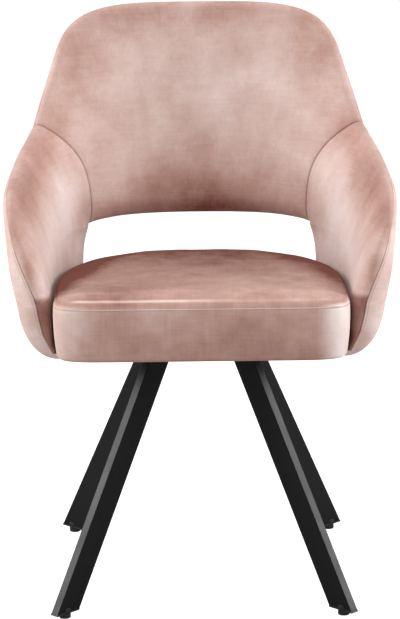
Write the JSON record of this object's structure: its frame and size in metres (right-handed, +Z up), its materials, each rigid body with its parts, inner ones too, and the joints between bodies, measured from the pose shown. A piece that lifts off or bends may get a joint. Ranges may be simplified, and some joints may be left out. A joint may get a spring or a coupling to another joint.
{
  "type": "upholstered swivel armchair",
  "caption": "Padded armchair with a flared shell, an open gap behind the seat, a box seat cushion and leaning rectangular tube legs under a central swivel.",
  "frame": {"origin": "centre of the overall box, on the floor", "axes": "+Z up, the chair faces -Y, +X is on the right as the chair is seen from its front, and the node names left and right follow that view"},
  "size_m": [0.6016, 0.5632, 0.8817],
  "materials": {
    "velvet": "crushed velvet, dusty pink",
    "velvet_seat": "crushed velvet, dusty pink, pressed and darker on the seat",
    "shell_plastic": "moulded",
    "plywood": "unfinished plywood",
    "dust_cloth": "black non-woven cloth",
    "black_paint": "black powder coat, satin",
    "black_plastic": "moulded",
    "zinc_steel": "zinc plated"
  },
  "bodies": {
    "leg_frame": {"leg_tube_rear_right": "black_paint", "foot_plug_rear_right": "black_plastic", "glide_rear_right": "black_plastic", "leg_tube_rear_left": "black_paint", "foot_plug_rear_left": "black_plastic", "glide_rear_left": "black_plastic", "leg_tube_front_left": "black_paint", "foot_plug_front_left": "black_plastic", "glide_front_left": "black_plastic", "leg_tube_front_right": "black_paint", "foot_plug_front_right": "black_plastic", "glide_front_right": "black_plastic", "leg_plate": "black_paint", "swivel_lower_plate": "zinc_steel", "bearing_lower_race": "zinc_steel", "ball_cage": "zinc_steel", "pivot_bolt": "zinc_steel", "pivot_nut": "zinc_steel", "frame_bolt_1": "zinc_steel", "frame_nut_1": "zinc_steel", "frame_bolt_2": "zinc_steel", "frame_nut_2": "zinc_steel", "frame_bolt_3": "zinc_steel", "frame_nut_3": "zinc_steel", "frame_bolt_4": "zinc_steel", "frame_nut_4": "zinc_steel"},
    "seat": {"bearing_upper_race": "zinc_steel", "swivel_upper_plate": "zinc_steel", "seat_bolt_1": "zinc_steel", "tee_nut_1": "zinc_steel", "seat_bolt_2": "zinc_steel", "tee_nut_2": "zinc_steel", "seat_bolt_3": "zinc_steel", "tee_nut_3": "zinc_steel", "seat_bolt_4": "zinc_steel", "tee_nut_4": "zinc_steel", "seat_board": "plywood", "dust_cover": "dust_cloth", "seat_cushion": "velvet_seat", "shell_core": "shell_plastic", "inner_arm_pad_left": "velvet", "outer_arm_cover_left": "velvet", "inner_arm_pad_right": "velvet", "outer_arm_cover_right": "velvet", "inner_back_pad": "velvet", "outer_back_cover": "velvet", "inner_band_pad": "velvet", "outer_band_cover": "velvet", "shell_screw_1": "zinc_steel", "shell_screw_2": "zinc_steel", "shell_screw_3": "zinc_steel", "shell_screw_4": "zinc_steel", "shell_screw_5": "zinc_steel", "shell_screw_6": "zinc_steel"}
  },
  "joints": [
    {"name": "seat_swivel", "type": "hinge", "parent": "leg_frame", "child": "seat", "pos_m": [0, -0.01956, 0.4], "axis": [0, 0, 1], "continuous": true}
  ]
}
